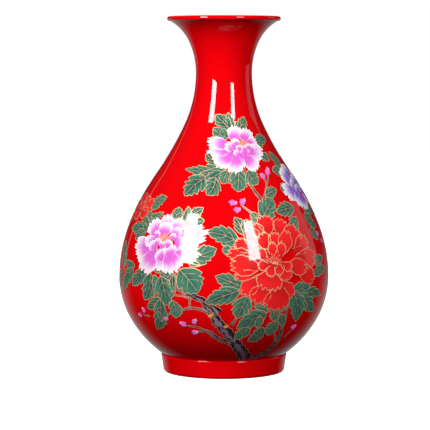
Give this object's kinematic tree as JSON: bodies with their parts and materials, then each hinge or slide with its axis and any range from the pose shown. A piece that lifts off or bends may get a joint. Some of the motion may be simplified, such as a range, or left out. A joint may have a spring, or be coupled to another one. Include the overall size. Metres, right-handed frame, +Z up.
{
  "type": "cloisonne vase",
  "caption": "Pear-shaped vase with a flared mouth and a low foot: copper shells under red enamel, with a peony branch laid out in enamel cells and gilt wire.",
  "frame": {"origin": "centre of the foot's underside", "axes": "+Z up along the vase's axis; the front, with the top peony and the trunk, faces -Y; +X is to the viewer's right"},
  "size_m": [0.1956, 0.1964, 0.33],
  "materials": {
    "copper": "satin",
    "braze": "satin",
    "brass_wire": "satin",
    "red_enamel": "gloss",
    "turquoise_enamel": "gloss",
    "pink_enamel": "gloss",
    "salmon_enamel": "gloss",
    "jade_enamel": "gloss",
    "gilt_wire": "polished",
    "crimson_enamel": "gloss",
    "violet_enamel": "gloss",
    "bark_enamel": "gloss",
    "knot_enamel": "gloss"
  },
  "bodies": {
    "root": {"neck_shell": "copper", "upper_body_shell": "copper", "lower_body_shell": "copper", "shoulder_seam": "braze", "belly_seam": "braze", "lip_wire": "brass_wire", "foot_ring": "copper", "base_plate": "copper", "ground_enamel": "red_enamel", "lip_enamel": "red_enamel", "foot_enamel": "red_enamel", "lining_enamel": "turquoise_enamel", "base_enamel": "turquoise_enamel", "top_peony_petals": "pink_enamel", "top_peony_heart": "salmon_enamel", "top_leaves": "jade_enamel", "top_wires": "gilt_wire", "left_peony_petals": "pink_enamel", "left_peony_heart": "salmon_enamel", "left_leaves": "jade_enamel", "left_wires": "gilt_wire", "red_peony_petals": "crimson_enamel", "red_peony_stamens": "gilt_wire", "red_peony_wires": "gilt_wire", "right_leaves": "jade_enamel", "right_wires": "gilt_wire", "violet_peony_petals": "violet_enamel", "side_leaves": "jade_enamel", "side_wires": "gilt_wire", "edge_peony_petals": "crimson_enamel", "edge_leaves": "jade_enamel", "edge_wires": "gilt_wire", "trunk_bark": "bark_enamel", "twig_bark": "bark_enamel", "bark_knots": "knot_enamel", "flower_buds": "pink_enamel", "back_pink_petals": "pink_enamel", "back_pink_leaves": "jade_enamel", "back_pink_wires": "gilt_wire", "back_red_petals": "crimson_enamel", "back_bloom_wires": "gilt_wire", "back_red_leaves": "jade_enamel", "back_red_wires": "gilt_wire", "back_hearts": "salmon_enamel", "back_bark": "bark_enamel", "back_buds": "pink_enamel"}
  },
  "joints": []
}
